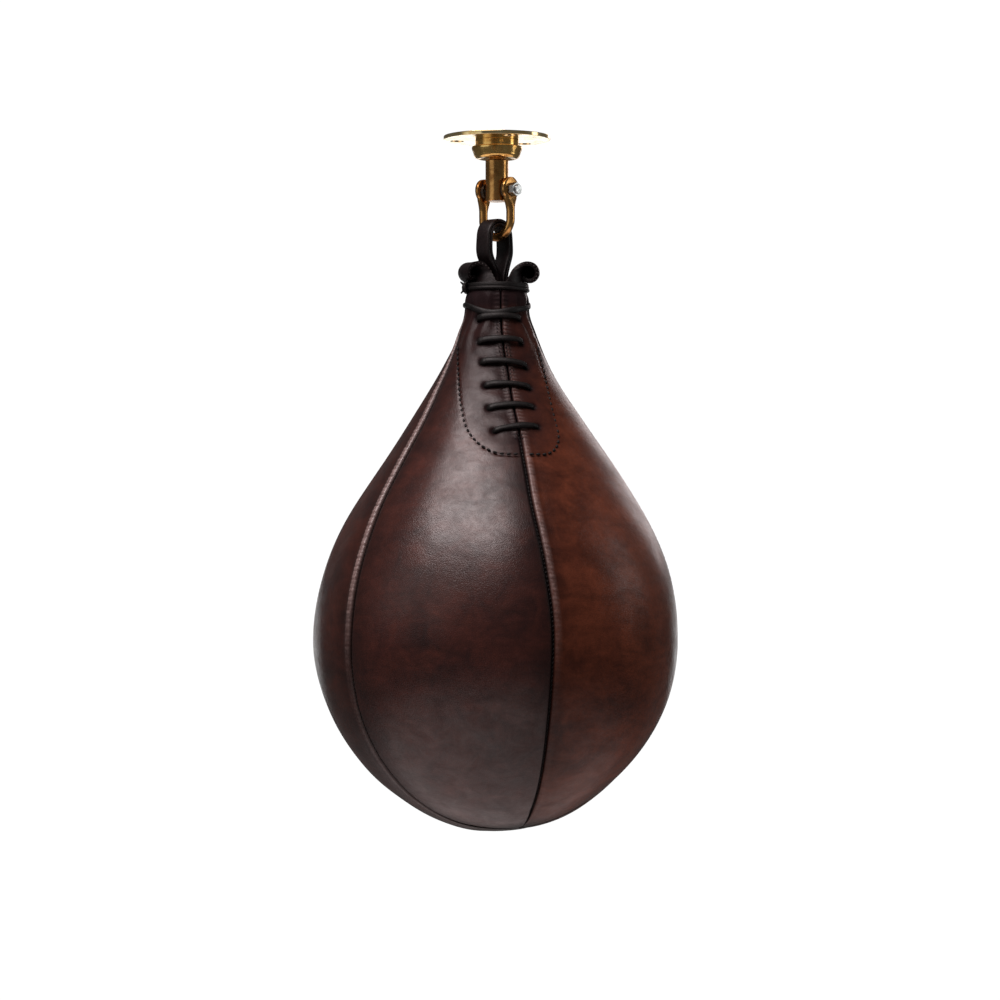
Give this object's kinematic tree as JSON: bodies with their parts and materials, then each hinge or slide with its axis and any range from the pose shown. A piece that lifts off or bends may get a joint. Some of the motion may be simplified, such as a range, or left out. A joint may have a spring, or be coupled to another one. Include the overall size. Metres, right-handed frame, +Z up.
{
  "type": "speed bag",
  "caption": "Teardrop leather speed bag, laced at the neck, hung by a leather loop and a bow shackle from a ball-bearing ceiling swivel with a round screw flange.",
  "frame": {"origin": "centre of the swivel flange's top face, the face that lies against the board", "axes": "+Z up into the board, along the swivel's axis; the bag hangs towards -Z and its lacing faces -Y"},
  "size_m": [0.2046, 0.2051, 0.3909],
  "materials": {
    "hide": "satin",
    "dark_leather": "satin",
    "lace_leather": "matte",
    "brass": "polished",
    "zinc_steel": "satin",
    "bearing_steel": "polished",
    "rubber": "matte"
  },
  "bodies": {
    "ceiling_mount": {"mounting_flange": "brass", "bearing_housing": "brass", "housing_cap": "brass", "lower_race": "bearing_steel"},
    "ball_cage": {"bearing_cage": "brass", "bearing_balls": "bearing_steel"},
    "stem": {"swivel_stem": "brass", "upper_race": "bearing_steel"},
    "shackle": {"shackle_bow": "brass", "shackle_bolt": "zinc_steel", "shackle_nut": "zinc_steel", "shackle_spacers": "zinc_steel"},
    "bag": {"hanging_loop": "dark_leather", "panel_front_left": "hide", "panel_front_right": "hide", "panel_side_right": "hide", "panel_back": "hide", "panel_side_left": "hide", "seam_welt_front": "dark_leather", "seam_welt_right": "dark_leather", "seam_welt_back_right": "dark_leather", "seam_welt_back_left": "dark_leather", "seam_welt_left": "dark_leather", "facing_left": "dark_leather", "facing_right": "dark_leather", "lacing_tongue": "dark_leather", "bag_lace": "lace_leather", "upper_neck_tie": "lace_leather", "lower_neck_tie": "lace_leather", "bladder": "rubber", "bladder_plug": "rubber"}
  },
  "joints": [
    {"name": "swivel_spin", "type": "hinge", "parent": "ceiling_mount", "child": "stem", "pos_m": [0, 0, -0.0074], "axis": [0, 0, 1], "continuous": true},
    {"name": "cage_orbit", "type": "hinge", "parent": "ceiling_mount", "child": "ball_cage", "pos_m": [0, 0, -0.0074], "axis": [0, 0, 1], "continuous": true},
    {"name": "shackle_pivot", "type": "hinge", "parent": "stem", "child": "shackle", "pos_m": [0, 0, -0.0309], "axis": [0.5, -0.866, 0], "range_deg": [-70, 70]},
    {"name": "loop_swing", "type": "hinge", "parent": "shackle", "child": "bag", "pos_m": [0, 0, -0.049], "axis": [0.866, 0.5, 0], "range_deg": [-60, 60]}
  ],
  "couplings": [
    {"joint": "cage_orbit", "follows": "swivel_spin", "ratio": 0.5}
  ]
}
